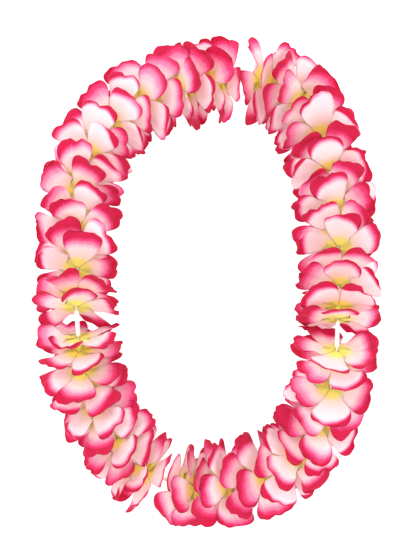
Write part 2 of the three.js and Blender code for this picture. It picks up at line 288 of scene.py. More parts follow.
@dataclass(frozen=True)
class PetalDye:
    """Thin woven cloth, sprayed from the tips inwards, with a yellow spot at each layer's middle.

    The dye's blotches, streaks and colours are on a scale from 0 at no dye to 1 at full dye. The
    spot and the halo round it fade in between two distances from the hub, as shares of the reach.
    The cut edges carry painted shade: a dark colour laid on the rim in noisy patches.
    """

    pale: Colour = linear(253, 245, 248)
    blush: Colour = linear(252, 221, 234)
    pink: Colour = linear(249, 165, 204)
    magenta: Colour = linear(235, 80, 144)
    crimson: Colour = linear(219, 38, 91)
    yellow: Colour = linear(255, 255, 150)
    cream: Colour = linear(255, 255, 232)
    back_tint: Colour = linear(255, 214, 208)
    # Painted shade: the dark colour laid on the cut edges in place of the shade along them.
    painted_edge_shade: Colour = linear(150, 24, 60)
    blush_at: float = 0.24
    pink_at: float = 0.5
    magenta_at: float = 0.76
    blotches_per_m: float = 55.0
    blotch_dye: float = 0.34
    blotch_reach: float = 0.07
    streaks_per_petal: tuple[float, float, float] = (26.0, 2.2, 1.0)
    streak_detail: float = 3.0
    streak_dye: float = 0.2
    halo: Span = (0.62, 0.34)
    halo_depth: float = 0.65
    spot: Span = (0.41, 0.24)
    back_depth: float = 0.45
    # How the painted shade on the cut edges is narrowed to the rim and broken into patches, and how
    # dark it gets.
    edge_shade_patches_per_m: float = 70.0
    edge_shade_noise_limits: Span = (-0.04, 0.16)
    edge_shade_depths: Span = (0.1, 0.75)
    edge_shade_sharpness: float = 3.0
    threads_per_petal: float = 90.0
    thread_height: float = 0.12
    veins_per_petal: float = 9.0
    vein_wander: float = 5.0
    vein_height: float = 0.5
    light_through: float = 0.55

    def material(self) -> Material:
        """Makes the cloth, which reads the petal UV map and the mesh's own attributes.

        Returns:
            The material.
        """
        tree = ShaderTree("petal_cloth")
        blotch = tree.noise(self.blotches_per_m)
        petal = tree.out("UVMap", uv_map="petal")
        streak = tree.noise(1.0, self.streak_detail, tree.out(
            "Mapping", {"Vector": petal, "Scale": self.streaks_per_petal}))

        dye = tree.add(tree.attribute("dye"), tree.times(blotch, self.blotch_dye))
        dye = tree.add(dye, tree.times(streak, self.streak_dye))
        cloth = tree.ramp(
            dye, (0.0, self.pale), (self.blush_at, self.blush), (self.pink_at, self.pink),
            (self.magenta_at, self.magenta), (1.0, self.crimson))
        reach = tree.add(tree.attribute("reach"), tree.times(blotch, self.blotch_reach))
        halo = tree.mapped(reach, self.halo, (0.0, self.halo_depth))
        cloth = tree.mix(halo, cloth, self.cream, "DARKEN")
        cloth = tree.mix(tree.mapped(reach, self.spot, (0.0, 1.0)), cloth, self.yellow)
        back = tree.times(tree.attribute("back"), self.back_depth)
        cloth = tree.mix(back, cloth, self.back_tint, "MULTIPLY")
        # Painted shade along the cut edges: the rim mask, narrowed and patched by noise, mixes in
        # the dark edge colour.
        cut = tree.math("POWER", tree.attribute("cut"), self.edge_shade_sharpness)
        edge_shade = tree.mapped(
            tree.noise(self.edge_shade_patches_per_m), self.edge_shade_noise_limits, self.edge_shade_depths, "LINEAR")
        cloth = tree.mix(tree.times(cut, edge_shade), cloth, self.painted_edge_shade)

        across, along = tree.node("SeparateXYZ", {0: petal}).outputs[:2]
        weave = tree.add(*(
            tree.math("SINE", tree.times(way, TURN * self.threads_per_petal))
            for way in (across, along)))
        veins = tree.math("SINE", tree.add(
            tree.times(across, TURN * self.veins_per_petal), tree.times(streak, self.vein_wander)))
        height = tree.add(
            tree.times(weave, self.thread_height), tree.times(veins, self.vein_height))
        normal = tree.bump(height, strength=0.25, depth=0.0002)
        cover = tree.out("BsdfPrincipled", {
            "Base Color": cloth, "Roughness": 0.78, "Specular IOR Level": 0.25,
            "Sheen Weight": 0.12, "Sheen Roughness": 0.5, "Normal": normal})
        through = tree.out("BsdfTranslucent", {"Color": cloth, "Normal": normal})
        return tree.finished(tree.out("MixShader", {0: self.light_through, 1: cover, 2: through}))


@dataclass(frozen=True)
class TwistedThread:
    """White polyester thread with a little nap."""

    light: Colour = linear(252, 250, 245)
    shade: Colour = linear(226, 220, 206)
    shade_share: float = 0.4
    fibres_per_m: float = 2600.0
    fibre_detail: float = 4.0

    def material(self) -> Material:
        """Makes the thread's finish.

        Returns:
            The material.
        """
        tree = ShaderTree("thread")
        fibres = tree.noise(self.fibres_per_m, self.fibre_detail)
        shade = tree.math("ADD", fibres, self.shade_share, clamp=True)
        return tree.covered({
            "Base Color": tree.mix(shade, self.light, self.shade), "Roughness": 0.85,
            "Sheen Weight": 0.3, "Normal": tree.bump(fibres, strength=0.4)})


@dataclass(frozen=True)
class TubePlastic:
    """White, slightly cloudy plastic tube with fine lines in it."""

    white: Colour = linear(250, 250, 248)
    cloud: Colour = linear(228, 230, 230)
    cloud_share: float = 0.35
    clouds_per_m: float = 320.0
    cloud_detail: float = 3.0
    lines_per_m: float = 1800.0

    def material(self) -> Material:
        """Makes the tube's finish.

        Returns:
            The material.
        """
        tree = ShaderTree("tube_plastic")
        clouds = tree.noise(self.clouds_per_m, self.cloud_detail)
        cloudy = tree.math("ADD", clouds, self.cloud_share, clamp=True)
        return tree.covered({
            "Base Color": tree.mix(cloudy, self.white, self.cloud), "Roughness": 0.38,
            "Coat Weight": 0.15,
            "Normal": tree.bump(tree.noise(self.lines_per_m, detail=1.0), strength=0.12)})


@dataclass(frozen=True)
class WhiteTable:
    """The plain white table that the lei lies on, lit a little from below."""

    white: Colour = linear(190, 190, 190)
    glow: float = 1.6
    grains_per_m: float = 900.0

    def material(self) -> Material:
        """The table's finish."""
        tree = ShaderTree("table")
        return tree.covered({
            "Base Color": self.white, "Roughness": 0.9, "Specular IOR Level": 0.1,
            "Emission Color": self.white, "Emission Strength": self.glow,
            "Normal": tree.bump(tree.noise(self.grains_per_m, detail=1.0), strength=0.05)})


class ShapeTree(NodeTree):
    """A Geometry Nodes tree with named inputs, turned into a plain mesh when it is run."""

    PREFIX = "GeometryNode"

    def __init__(self, name: str, takes_geometry: bool = False) -> None:
        """Starts an empty tree.

        Args:
            name: The tree's name.
            takes_geometry: True if it works on the geometry of the object that it runs on.
        """
        super().__init__(bpy.data.node_groups.new(name, "GeometryNodeTree"))
        self.identifiers: dict[str, str] = {}
        self.values: Inputs = {}
        for way in ("INPUT", "OUTPUT") if takes_geometry else ("OUTPUT",):
            self.tree.interface.new_socket(
                "Geometry", in_out=way, socket_type="NodeSocketGeometry")
        self.group_input = self.node("NodeGroupInput")
        self.group_output = self.node("NodeGroupOutput")

    def named(self, values: Inputs) -> list[Socket]:
        """Adds named inputs.

        Args:
            values: The inputs' names, with their values in a run that gives no others.

        Returns:
            The sockets that carry them in the tree.
        """
        for name, value in values.items():
            kind = {float: "Float", int: "Int"}.get(type(value), "Material")
            self.identifiers[name] = self.tree.interface.new_socket(
                name, in_out="INPUT", socket_type=f"NodeSocket{kind}").identifier
        self.values.update(values)
        return [self.group_input.outputs[name] for name in values]

    def vector(self, kind: str, first: Socket, second: Socket) -> Socket:
        """The vector that a Vector Math node of some kind makes from two sockets."""
        inputs = {0: first, 3 if kind == "SCALE" else 1: second}
        return self.out("ShaderNodeVectorMath", inputs, operation=kind)

    def stored(self, geometry: Socket, name: str, value: Socket, kind: str = "FLOAT",
               domain: str = "POINT") -> Socket:
        """The geometry with a value stored on it as a named attribute."""
        inputs = {"Geometry": geometry, "Name": name, "Value": value}
        return self.out("StoreNamedAttribute", inputs, data_type=kind, domain=domain)

    def finished(self, geometry: Socket, material: Material) -> "ShapeTree":
        """Ends the tree in Realize Instances and Set Material, whose material is a named input.

        Args:
            geometry: The socket of the geometry that is made.
            material: The material that is set.

        Returns:
            The tree itself.
        """
        finish = self.named({"Material": material})[0]
        real = self.out("RealizeInstances", {0: geometry})
        dressed = self.out("SetMaterial", {"Geometry": real, "Material": finish})
        self.tree.links.new(dressed, self.group_output.inputs[0])
        return self

    def run(self, name: str, values: Inputs | None = None,
            carrier: bpy.types.Object | None = None) -> Mesh:
        """Runs the tree once.

        Args:
            name: The name of the mesh that it makes.
            values: The values of named inputs that aren't the tree's own.
            carrier: The object whose geometry it works on, which is removed afterwards, or None.

        Returns:
            The result as a plain mesh.
        """
        holder = in_scene(carrier or bpy.data.objects.new(name, bpy.data.meshes.new(name)))
        modifier = holder.modifiers.new("tree", "NODES")
        modifier.node_group = self.tree
        for key, value in {**self.values, **(values or {})}.items():
            modifier[self.identifiers[key]] = value
        graph = bpy.context.evaluated_depsgraph_get()
        mesh = bpy.data.meshes.new_from_object(
            holder.evaluated_get(graph), preserve_all_data_layers=True, depsgraph=graph)
        mesh.name = name
        bpy.data.objects.remove(holder)
        return mesh


class Route:
    """The string's line from above: a closed uniform B-spline, with the string's length so far."""

    CORNERS = (
        (-127, -18), (-126, 48), (-125, 106), (-90, 158), (-35, 180), (28, 191), (84, 171),
        (107, 112), (116, 51), (115, -14), (113, -79), (103, -131), (67, -178), (14, -189),
        (-46, -196), (-92, -153), (-124, -91),
    )
    STEPS_PER_CORNER = 100

    def __init__(self) -> None:
        """Samples the spline once round."""
        corners = np.array(self.CORNERS, dtype=float)
        count = len(corners)
        steps = np.arange(count * self.STEPS_PER_CORNER + 1)
        corner = steps // self.STEPS_PER_CORNER
        t = steps / self.STEPS_PER_CORNER - corner
        weights = (
            (1 - t) ** 3, 3 * t ** 3 - 6 * t ** 2 + 4, -3 * t ** 3 + 3 * t ** 2 + 3 * t + 1, t ** 3)
        self.points = sum(
            weight[:, None] * corners[(corner + index - 1) % count]
            for index, weight in enumerate(weights)) / 6
        lengths = np.linalg.norm(np.diff(self.points, axis=0), axis=1)
        self.so_far = np.concatenate([[0.0], np.cumsum(lengths)])
        self.length = float(self.so_far[-1])
        ways = np.diff(self.points, axis=0) / lengths[:, None]
        seam = [ways[-1] + ways[0]]
        self.ways = unit(np.concatenate([seam, ways[:-1] + ways[1:], seam]))

    def placed(self, distance: Array, out: Array, height: Array) -> Array:
        """Points given by how far along, how far out from and how high above the route they are.

        Args:
            distance: Distances along the route.
            out: Distances to its outer side.
            height: Heights over the surface.

        Returns:
            An array of points, one a row.
        """
        distance, out, height = np.broadcast_arrays(*np.atleast_1d(distance, out, height))
        wanted = np.mod(distance, self.length)
        index = np.searchsorted(self.so_far, wanted, side="right") - 1
        index = np.clip(index, 0, len(self.so_far) - 2)
        step = self.so_far[index + 1] - self.so_far[index]
        share = ((wanted - self.so_far[index]) / step)[:, None]
        at = self.points[index] * (1 - share) + self.points[index + 1] * share
        way = unit(self.ways[index] * (1 - share) + self.ways[index + 1] * share)
        return np.column_stack([at[:, 0] - way[:, 1] * out, at[:, 1] + way[:, 0] * out, height])

    def room(self, distance: float, out: Array) -> Array:
        """How much room there is out from the route: 1 where it is straight, less inside a bend."""
        before, after = (self.placed(distance + step, out, 0.0) for step in (-1, 1))
        return np.minimum(1, np.linalg.norm(after - before, axis=1) / 2)


@dataclass(frozen=True)
class FlatSheet:
    """The die-cut sheet as arrays: where each point is on its petal, the faces and the cut edge.

    Axial and lateral are the distances up a petal and aside from its middle line, as shares of
    the reach. Along and across go from 0 to 1 up its blade and from -1 to 1 between its edges.
    """

    petal: Array
    axial: Array
    lateral: Array
    along: Array
    across: Array
    faces: list[Face]
    cut: list[tuple[int, int]]

    @property
    def reach(self) -> Array:
        """Each point's distance from the hub, as a share of the sheet's reach."""
        return np.hypot(self.axial, self.lateral)


@dataclass
class DieCutSheet:
    """One flat sheet of joined petals, as it is stamped from the cloth."""

    reach: float = 39.0
    petals: int = 5
    hub: float = 1.7
    cleft_reach: float = 0.36
    swell: float = 0.42
    swell_power: float = 0.9
    tip_fullness: float = 3.0
    hub_rows: int = 5
    blade_rows: int = 17
    columns: int = 16
    merge_distance: float = 1e-4

    @property
    def petal_turn(self) -> float:
        """The angle from one petal to the next."""
        return TURN / self.petals

    def tree(self, material: Material) -> ShapeTree:
        """Cuts a petal out of a grid by its outline's formula, and sets all of them round the hub.

        Args:
            material: The cloth's material.

        Returns:
            The tree.
        """
        shape = ShapeTree("die_cut_sheet")
        reach, hub, cleft, swell, power, fullness, petals, hub_rows, rows, columns = shape.named({
            "Reach": self.reach, "Hub Share": self.hub / self.reach,
            "Cleft Share": self.cleft_reach * math.cos(self.petal_turn / 2),
            "Swell": self.swell, "Swell Power": self.swell_power,
            "Tip Fullness": self.tip_fullness, "Petals": self.petals, "Hub Rows": self.hub_rows,
            "Rows": self.hub_rows + self.blade_rows, "Columns": self.columns})
        petal = shape.out("MeshGrid", {
            "Size X": 2.0, "Size Y": 1.0, "Vertices X": shape.add(columns, 1.0),
            "Vertices Y": shape.add(rows, 1.0)})
        place = shape.node("ShaderNodeSeparateXYZ", {0: shape.out("InputPosition")})
        across, up = place.outputs[0], shape.add(place.outputs[1], 0.5)
        hub_part = shape.math("DIVIDE", hub_rows, rows)
        in_hub = shape.math("DIVIDE", up, hub_part, clamp=True)
        in_blade = shape.math(
            "DIVIDE", shape.less(up, hub_part), shape.less(1.0, hub_part), clamp=True)
        along = shape.math("SINE", shape.times(in_blade, math.pi / 2))
        left = shape.math("SUBTRACT", 1.0, shape.math("POWER", along, fullness), clamp=True)
        narrowing = shape.math("POWER", left, shape.math("DIVIDE", 1.0, fullness))
        to_cleft = shape.add(hub, shape.times(in_hub, shape.less(cleft, hub)))
        axial = shape.add(to_cleft, shape.times(along, shape.less(1.0, cleft)))
        wedge = shape.times(to_cleft, math.tan(self.petal_turn / 2))
        belly = shape.times(swell, shape.math("POWER", along, power))
        lateral = shape.times(across, shape.times(narrowing, shape.add(wedge, belly)))
        spot = shape.out("ShaderNodeCombineXYZ", {
            0: shape.times(lateral, reach), 1: shape.times(axial, reach)})
        for name, value in (
                ("along", along), ("across", across), ("axial", axial), ("lateral", lateral)):
            petal = shape.stored(petal, name, value)
        petal = shape.out("SetPosition", {"Geometry": petal, "Position": spot})
        index = shape.out("InputIndex")
        turn = shape.times(index, shape.math("DIVIDE", -TURN, petals))
        ring = shape.out("InstanceOnPoints", {
            "Points": shape.out("Points", {"Count": petals}), "Instance": petal,
            "Rotation": shape.out("ShaderNodeCombineXYZ", {2: turn})})
        ring = shape.stored(ring, "petal", index, "INT", "INSTANCE")
        flat = shape.out("RealizeInstances", {0: ring})
        return shape.finished(shape.out("MergeByDistance", {
            "Geometry": flat, "Distance": self.merge_distance}), material)

    def flat(self, material: Material) -> FlatSheet:
        """Makes the sheet.

        Args:
            material: The cloth's material.

        Returns:
            The sheet's arrays.
        """
        mesh = self.tree(material).run("die_cut_sheet")

        def values(name: str, kind: type = float) -> Array:
            """One attribute's value at every point."""
            found = np.zeros(len(mesh.vertices), dtype=kind)
            mesh.attributes[name].data.foreach_get("value", found)
            return found

        places = [values(name) for name in ("axial", "lateral", "along", "across")]
        faces = [tuple(face.vertices) for face in mesh.polygons]
        edges = dict.fromkeys(edge for face in faces for edge in zip(face, face[1:] + face[:1]))
        cut = [edge for edge in edges if edge[::-1] not in edges]
        sheet = FlatSheet(values("petal", np.int32), *places, faces, cut)
        bpy.data.meshes.remove(mesh)
        return sheet


def drawn(limits: Span | None, number: int) -> Field:
    """A field that is drawn between limits, its own or its layer's, with the draw's number."""
    return field(metadata={"limits": limits, "number": number})


@dataclass(frozen=True)
class PetalForm:
    """How one petal departs from its bent sheet, and how the spray caught it.

    Trough, twist, curl, pleat and the rolls are in millimetres. The others are shares.
    """

    trough: float = drawn((-3.2, 4.2), 1)
    twist: float = drawn((-3.2, 3.2), 2)
    curl: float = drawn((-4.0, 7.5), 3)
    length: float = drawn((0.94, 1.07), 12)
    width: float = drawn((0.9, 1.07), 19)
    bow: float = drawn((-0.07, 0.07), 20)
    skew: float = drawn((-0.22, 0.22), 13)
    notch: float = drawn((-0.02, 0.075), 6)
    wave: float = drawn((0.004, 0.02), 7)
    pleat: float = drawn((0.2, 0.75), 16)
    phase: float = drawn((0.0, TURN), 8)
    dye_start: float = drawn((0.42, 0.9), 9)
    dye_slant: float = drawn((-0.22, 0.22), 11)
    dye_rim: float = drawn((0.0, 0.3), 17)
    dye_softness: float = drawn((0.6, 1.15), 18)
    roll_left: float = drawn(None, 14)
    roll_right: float = drawn(None, 15)

    @classmethod
    def of(cls, seed: int, roll: Span) -> "PetalForm":
        """The form that a seed gives to a petal.

        Args:
            seed: The petal's own seed.
            roll: The least and the most that its sides roll forward, in millimetres.

        Returns:
            The form.
        """
        return cls(*(
            between(part.metadata["limits"] or roll, draw(seed, part.metadata["number"]))
            for part in fields(cls)))


@dataclass
class PetalLayer:
    """One sheet on the string: it leans and bends along the route, pressed where it lies on it."""

    route: Route
    die: DieCutSheet
    facing: Facing
    distance: float
    height: float
    lean: float
    upper_bend: float
    lower_bend: float
    swing: float
    spread: float
    spin: float
    forms: list[PetalForm]
    thickness: float = 0.4
    lowest: float = 0.3
    side_sag: float = 6.0
    press_rounding: float = 2.0
    blade_rise: Span = (0.3, 0.65)
    spread_rise: Span = (0.2, 0.7)
    curl_start: float = 0.55
    end_power: int = 5
    notch_width: float = 0.1
    waves: float = 24.0
    pleats: float = 17.0
    roll_power: int = 5
    roll_loss: float = 0.5
    rim_power: int = 4
    normal_step: float = 1e-3

    def bent(self, across: Array, upward: Array) -> tuple[Array, Array, Array]:
        """The evenly bent sheet at a distance out from the hub and towards its upper edge.

        Args:
            across: Distances from the hub's middle, sideways.
            upward: Distances from the line across the hub.

        Returns:
            How far along and how high it is there, and its slope.
        """
        curvature = np.where(upward > 0, self.upper_bend, self.lower_bend) / self.die.reach
        slope = self.lean + curvature * upward
        along = (np.cos(slope) - math.cos(self.lean)) / curvature
        up = (np.sin(slope) - math.sin(self.lean)) / curvature
        below = np.maximum(0, -upward)
        turned = self.spread * smooth_step(*self.spread_rise, np.abs(across) / self.die.reach)
        return along + below * np.sin(turned), up + below * (1 - np.cos(turned)), slope

    def pressed(self, height: Array) -> Array:
        """How far a point is pushed, both up and forward, when it would lie below the surface."""
        depth, soft = self.lowest - height, self.press_rounding
        return np.where(depth >= soft, depth, np.maximum(0, depth + soft) ** 2 / (4 * soft))

    def form_at(self, sheet: FlatSheet) -> PetalForm:
        """The petals' forms as one, with an array of a value for each point in every field."""
        return PetalForm(*np.array([astuple(form) for form in self.forms])[sheet.petal].T)

    def middle(self, sheet: FlatSheet, step: Span = (0.0, 0.0)) -> Array:
        """The middle of the cloth at every point of the sheet.

        Args:
            sheet: The flat sheet.
            step: A step on the flat sheet from each of its points, across and along the petal.

        Returns:
            An array of points, one a row.
        """
        lateral, axial = sheet.lateral + step[0], sheet.axial + step[1]
        form, reach = self.form_at(sheet), self.die.reach
        blade = smooth_step(*self.blade_rise, axial)
        end = np.clip(sheet.along, 0, 1) ** self.end_power
        outline = form.skew * lateral
        outline -= form.notch * np.exp(-((lateral / self.notch_width) ** 2))
        outline += form.wave * np.sin(self.waves * lateral + form.phase)
        side = lateral / self.die.swell
        swing = -self.facing * self.swing * blade
        sideways = lateral * (1 + blade * (form.width - 1)) + form.bow * blade * axial ** 2
        level = sideways * np.cos(swing)
        turn = self.spin + sheet.petal * self.die.petal_turn
        length = axial * (1 + blade * (form.length - 1) + end * outline)
        across = reach * (length * np.sin(turn) + level * np.cos(turn))
        upward = reach * (length * np.cos(turn) - level * np.sin(turn))
        tip = np.maximum(0, (axial - self.curl_start) / (1 - self.curl_start))
        own = blade * (form.trough * side ** 2 + form.twist * side) + form.curl * tip ** 2
        roll = np.where(sheet.across > 0, form.roll_right, form.roll_left)
        own += blade * roll * np.abs(sheet.across) ** self.roll_power * (1 - self.roll_loss * end)
        own += blade * form.pleat * np.cos(self.pleats * lateral + form.phase)
        own += reach * sideways * np.sin(swing)
        lift = own * self.route.room(self.distance, across)
        along, up, slope = self.bent(across, upward)
        height = self.height + up + lift * np.sin(slope) - self.side_sag * (across / reach) ** 2
        push = self.pressed(height)
        forward = self.facing * (along + lift * np.cos(slope) + push)
        return self.route.placed(self.distance + forward, across, height + push)

    def normals(self, sheet: FlatSheet) -> Array:
        """The direction out of the cloth's front at every point of the sheet.

        Args:
            sheet: The flat sheet.

        Returns:
            An array of directions, one a row.
        """
        step = self.normal_step
        sideways = self.middle(sheet, (step, 0.0)) - self.middle(sheet, (-step, 0.0))
        lengthways = self.middle(sheet, (0.0, step)) - self.middle(sheet, (0.0, -step))
        return unit(np.cross(sideways, lengthways)) * self.facing

    def dye(self, sheet: FlatSheet) -> Array:
        """How much spray each point of the sheet caught.

        Args:
            sheet: The flat sheet.

        Returns:
            The dye at each point, from 0 to 1 and beyond.
        """
        form = self.form_at(sheet)
        reach = sheet.reach + form.dye_slant * sheet.across * sheet.along
        reach += form.dye_rim * sheet.across ** self.rim_power * sheet.along
        return (reach - form.dye_start) / ((1 - form.dye_start) * form.dye_softness)


@dataclass(frozen=True)
class Stance:
    """How a bloom leans and bends, in degrees, and how deep its lowest petal would sink, in mm.

    Swing turns every petal round its own length, like the blades of a fan. Spread and inner
    spread are how far the lower halves of the side petals turn forward, on the outer and the
    inner layer. Cup is how far the outer layer's upper half bends forward over the string. Pull
    is how many millimetres the bloom has slid back towards the meeting of two runs.
    """

    lean: float
    upper_bend: float
    lower_bend: float
    pressed: float
    swing: float = 0.0
    spread: float = 0.0
    inner_spread: float = 0.0
    pull: float = 0.0
    cup: float = 0.0


UPRIGHT_END = (
    Stance(26, 5, 8, 8, 14, 15, 0, -6), Stance(32, 13, 13, 8, 8, 15, 8, -1),
    Stance(40, 15, 15, 8, 4, 4, 4, -1), Stance(43, 15, 15, 8), Stance(46, 15, 15, 8))
STEEP_END = (
    Stance(21, 19, 24, 7, spread=11, inner_spread=13, pull=5, cup=29), Stance(36, 16, 24, 7))
OPEN_END = (Stance(28, 14, 27, 1, spread=12, inner_spread=12), Stance(46, 16, 22, 7))


@dataclass
class Bloom:
    """Two petal layers on a short collar round the string.

    The inner layer's extra bend and the jitters of lean and swing are in degrees, and the jitter
    of spin is a share of the turn from one petal to the next.
    """

    ATTRIBUTES = ("dye", "reach", "back", "cut")
    HUB_UV = (0.5, 0.0)

    route: Route
    die: DieCutSheet
    number: int
    facing: Facing
    distance: float
    stance: Stance
    layer_distance: float = 12.0
    inner_bend: float = 3.0
    outer_roll: Span = (-3.2, 8.0)
    inner_roll: Span = (-5.0, 3.6)
    lean_jitter: float = 2.0
    swing_jitter: float = 3.0
    spin_jitter: float = 0.25
    first_seed: int = 780
    seeds_per_layer: int = 10
    back_loss: float = 0.12
    collar_radius: float = 2.4
    collar_bore: float = 1.5
    collar_sides: int = 20
    outer: PetalLayer = field(init=False)
    inner: PetalLayer = field(init=False)

    def __post_init__(self) -> None:
        """Sets the two layers on the string."""
        stance, reach, turn = self.stance, self.die.reach, self.die.petal_turn
        lean = (stance.lean + self.jitter(self.lean_jitter, 4)) * DEGREES
        spin = self.jitter(turn * self.spin_jitter, 5)
        swing = (stance.swing + self.jitter(self.swing_jitter, 6)) * DEGREES
        curvature = stance.lower_bend * DEGREES / reach
        lowest = (math.sin(lean - curvature * reach) - math.sin(lean)) / curvature
        half, bend = self.layer_distance / 2, self.inner_bend
        seed = self.first_seed + self.number * 2 * self.seeds_per_layer
        self.outer, self.inner = (
            PetalLayer(
                self.route, self.die, self.facing, self.distance + self.facing * offset,
                -lowest - stance.pressed, lean, (stance.upper_bend + upper) * DEGREES,
                (stance.lower_bend + lower) * DEGREES, swing, spread * DEGREES, first_turn,
                [PetalForm.of(first_seed + petal, roll) for petal in range(self.die.petals)])
            for offset, upper, lower, spread, first_turn, first_seed, roll in (
                (half, -stance.cup, 0.0, stance.spread, spin, seed, self.outer_roll),
                (-half, bend, bend, stance.inner_spread, spin + turn / 2,
                 seed + self.seeds_per_layer, self.inner_roll)))

    def jitter(self, most: float, number: int) -> float:
        """One of the bloom's own draws, between a size's negative and the size."""
        return most * (2 * draw(self.number, number) - 1)

    def collar(self) -> tuple[Array, list[list[int]]]:
        """Makes the collar's ring wall between the two layers.

        Returns:
            Its points and its faces.
        """
        sides, angles = self.collar_sides, TURN * np.arange(self.collar_sides) / self.collar_sides
        rings = []
        for layer, radius in (
                (self.outer, self.collar_radius), (self.inner, self.collar_radius),
                (self.inner, self.collar_bore), (self.outer, self.collar_bore)):
            out, up = radius * np.cos(angles), radius * np.sin(angles)
            along = -up * math.tan(layer.lean) * self.facing
            rings.append(self.route.placed(layer.distance + along, out, layer.height + up))
        here = np.arange(len(rings) * sides).reshape(len(rings), sides)
        following = np.roll(here, -1, axis=0)
        corners = (here, np.roll(here, -1, axis=1), np.roll(following, -1, axis=1), following)
        return np.concatenate(rings), np.stack(corners, axis=-1).reshape(-1, 4).tolist()

    def cloth(self, sheet: FlatSheet) -> tuple[list[Array], list[Face], list[Array]]:
        """Makes the two layers, each with a front, a back and the wall of its cut edge.

        Args:
            sheet: The flat die-cut sheet.

        Returns:
            The points and the faces, and a table of each point's dye, reach, back and cut
            attributes and its place across and along the petal.
        """
        count = len(sheet.petal)
        points, faces, facts = [], [], []
        rim = np.zeros(count)
        rim[[edge[0] for edge in sheet.cut]] = 1.0
        for layer in (self.outer, self.inner):
            middle, normals, dye = layer.middle(sheet), layer.normals(sheet), layer.dye(sheet)
            for side in ClothSide:
                start, is_back = len(points) * count, float(side is ClothSide.BACK)
                points.append(middle + normals * side * layer.thickness / 2)
                order = slice(None, None, side * self.facing)
                faces += [tuple(start + corner for corner in face[order]) for face in sheet.faces]
                facts.append(np.column_stack([
                    dye - self.back_loss * is_back, sheet.reach, np.full(count, is_back), rim,
                    sheet.lateral, sheet.axial]))
            front, back = start - count, start
            walls = ((front + second, front + first, back + first, back + second)
                     for first, second in sheet.cut)
            faces += [wall[::self.facing] for wall in walls]
        return points, faces, facts

    def mesh(self, sheet: FlatSheet, origin: Array) -> Mesh:
        """Makes the bloom's mesh in metres.

        Args:
            sheet: The flat die-cut sheet.
            origin: Where the route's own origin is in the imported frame, in millimetres.

        Returns:
            The mesh, with the petal UV map and the dye, reach, back and cut attributes.
        """
        points, faces, facts = self.cloth(sheet)
        ring, ring_faces = self.collar()
        start = sum(map(len, points))
        faces += [tuple(start + corner for corner in face) for face in ring_faces]
        placed = (np.concatenate([*points, ring]) + origin) * MM
        table = np.concatenate([*facts, np.zeros((len(ring), facts[0].shape[1]))])
        made = bpy.data.meshes.new(f"bloom_{self.number:02d}")
        made.from_pydata(placed.tolist(), [], faces)
        for name, values in zip(self.ATTRIBUTES, table.T):
            made.attributes.new(name, "FLOAT", "POINT").data.foreach_set(
                "value", values.astype(np.float32))
        corners = np.zeros(len(made.loops), dtype=np.int32)
        made.loops.foreach_get("vertex_index", corners)
        flat = table[corners, len(self.ATTRIBUTES):] + self.HUB_UV
        made.uv_layers.new(name="petal").data.foreach_set("uv", flat.ravel().astype(np.float32))
        return sealed(made)


@dataclass
class Spacer:
    """A short tube with rounded ends, on the straight stretch of string between two blooms."""

    radius: float = 2.0
    bore: float = 1.4
    cloth_room: float = 0.3
    clearance: float = 1.5
    rounding: float = 0.12
    rounding_steps: int = 2
    sides: int = 28
    finish: TubePlastic = TubePlastic()

    def room(self, lean: float) -> float:
        """How far its end stays from the middle of a layer that leans so much."""
        return self.radius * math.tan(lean) + self.cloth_room / math.cos(lean) + self.clearance

    def tree(self) -> ShapeTree:
        """Sweeps a rounded wall section round a circle into a short tube along Z.

        Each run gives the tube's own length.

        Returns:
            The tree.
        """
        shape = ShapeTree("spacer_tube")
        length, radius, bore, rounding, sides = shape.named({
            "Length": self.clearance * MM, "Radius": self.radius * MM, "Bore": self.bore * MM,
            "Rounding": self.rounding * MM, "Sides": self.sides})
        circle = shape.out("CurvePrimitiveCircle", {
            "Resolution": sides, "Radius": shape.times(shape.add(radius, bore), 0.5)})
        wall = shape.out("CurvePrimitiveQuadrilateral", {
            "Width": shape.less(radius, bore), "Height": length})
        wall = shape.out("FilletCurve", {
            "Curve": wall, "Count": self.rounding_steps, "Radius": rounding}, mode="POLY")
        tube = shape.out("CurveToMesh", {"Curve": circle, "Profile Curve": wall})
        tube = shape.out("SetShadeSmooth", {"Geometry": tube, "Shade Smooth": True})
        return shape.finished(tube, self.finish.material())


@dataclass
class Thread:
    """Twisted strands laid along a line."""

    strands: int = 3
    strand_offset: float = 0.42
    strand_radius: float = 0.4
    strand_sides: int = 6
    twists: float = 260.0
    step: float = 1.2
    finish: TwistedThread = TwistedThread()

    def tree(self) -> ShapeTree:
        """Lays the strands along the curve that the tree runs on.

        Returns:
            The tree.
        """
        shape = ShapeTree("twisted_thread", takes_geometry=True)
        offset, radius, twists, step = shape.named({
            "Strand Offset": self.strand_offset * MM, "Strand Radius": self.strand_radius * MM,
            "Turns": self.twists, "Step": self.step * MM})
        curve = shape.group_input.outputs[0]
        route = shape.out("SetCurveNormal", {0: curve}, mode="Z_UP")
        route = shape.out("ResampleCurve", {"Curve": route, "Length": step}, mode="LENGTH")
        factor = shape.node("SplineParameter").outputs["Factor"]
        normal = shape.out("InputNormal")
        binormal = shape.vector("CROSS_PRODUCT", shape.out("InputTangent"), normal)
        section = shape.out("CurvePrimitiveCircle", {
            "Resolution": self.strand_sides, "Radius": radius})
        joined = shape.node("JoinGeometry")
        for strand in range(self.strands):
            angle = shape.add(
                shape.times(factor, shape.times(twists, TURN)), TURN * strand / self.strands)
            aside = shape.vector(
                "ADD", shape.vector("SCALE", normal, shape.math("COSINE", angle)),
                shape.vector("SCALE", binormal, shape.math("SINE", angle)))
            moved = shape.out("SetPosition", {
                "Geometry": route, "Offset": shape.vector("SCALE", aside, offset)})
            tube = shape.out("CurveToMesh", {
                "Curve": moved, "Profile Curve": section, "Fill Caps": True})
            shape.tree.links.new(tube, joined.inputs[0])
        return shape.finished(joined.outputs[0], self.finish.material())


